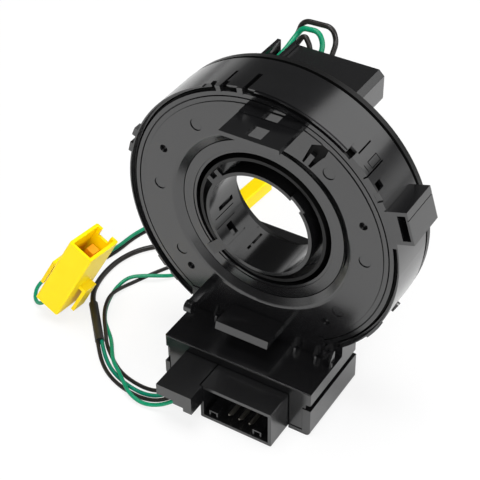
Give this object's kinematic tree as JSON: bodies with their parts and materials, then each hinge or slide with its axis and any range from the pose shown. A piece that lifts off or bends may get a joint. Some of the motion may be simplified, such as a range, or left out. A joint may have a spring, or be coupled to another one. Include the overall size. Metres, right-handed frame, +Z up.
{
  "type": "steering clock spring",
  "caption": "Ring-shaped rotary connector for a steering column, with a turning hub, a plug block below, wheel-side connectors behind and short leads with yellow plugs.",
  "frame": {"origin": "on the bore axis, in the plane of the stator's front rim", "axes": "+Y along the bore axis, towards the steering wheel; +Z up, away from the connector block; +X to the right, seen from the column side"},
  "size_m": [0.1573, 0.1399, 0.1218],
  "materials": {
    "black_abs": "semi-gloss moulded ABS",
    "black_pbt": "satin moulded PBT",
    "black_pom": "smooth acetal",
    "tinned_brass": "tin plated",
    "polyester_film": "laminated film with flat copper",
    "slip_film": "smooth film",
    "black_pvc": "satin PVC insulation",
    "green_pvc": "satin PVC insulation",
    "black_sleeve": "matt shrink tube",
    "yellow_pbt": "semi-gloss moulded PBT",
    "orange_pbt": "satin moulded PBT"
  },
  "bodies": {
    "stator": {"stator_housing": "black_abs", "outer_cover": "black_abs", "block_cover": "black_abs", "main_socket": "black_pbt", "socket_pins": "tinned_brass", "side_plug": "black_pbt", "terminal_block": "black_pbt", "flat_cable": "polyester_film", "front_slip_sheet": "slip_film", "left_plug": "yellow_pbt", "left_plug_insert": "orange_pbt", "rear_plug": "yellow_pbt", "rear_plug_insert": "black_pbt", "shrink_sleeve": "black_sleeve", "jacket_lead": "black_pvc", "green_tail": "green_pvc", "black_tail": "black_pvc", "green_lead_a": "green_pvc", "black_lead_a": "black_pvc", "green_lead_b": "green_pvc", "black_lead_b": "black_pvc"},
    "rotor": {"rotor_disc": "black_abs", "hub_sleeve": "black_pom", "rear_slip_sheet": "slip_film", "top_connector": "black_pbt", "top_connector_pins": "tinned_brass", "lower_connector": "black_pbt", "lower_connector_pins": "tinned_brass", "lead_channel": "black_abs", "rotor_lead_black": "black_pvc", "rotor_lead_green": "green_pvc", "rotor_lead_long": "black_pvc"}
  },
  "joints": [
    {"name": "rotor_spin", "type": "hinge", "parent": "stator", "child": "rotor", "pos_m": [0, 0.01, 0], "axis": [0, 1, 0], "range_deg": [-900, 900]}
  ]
}
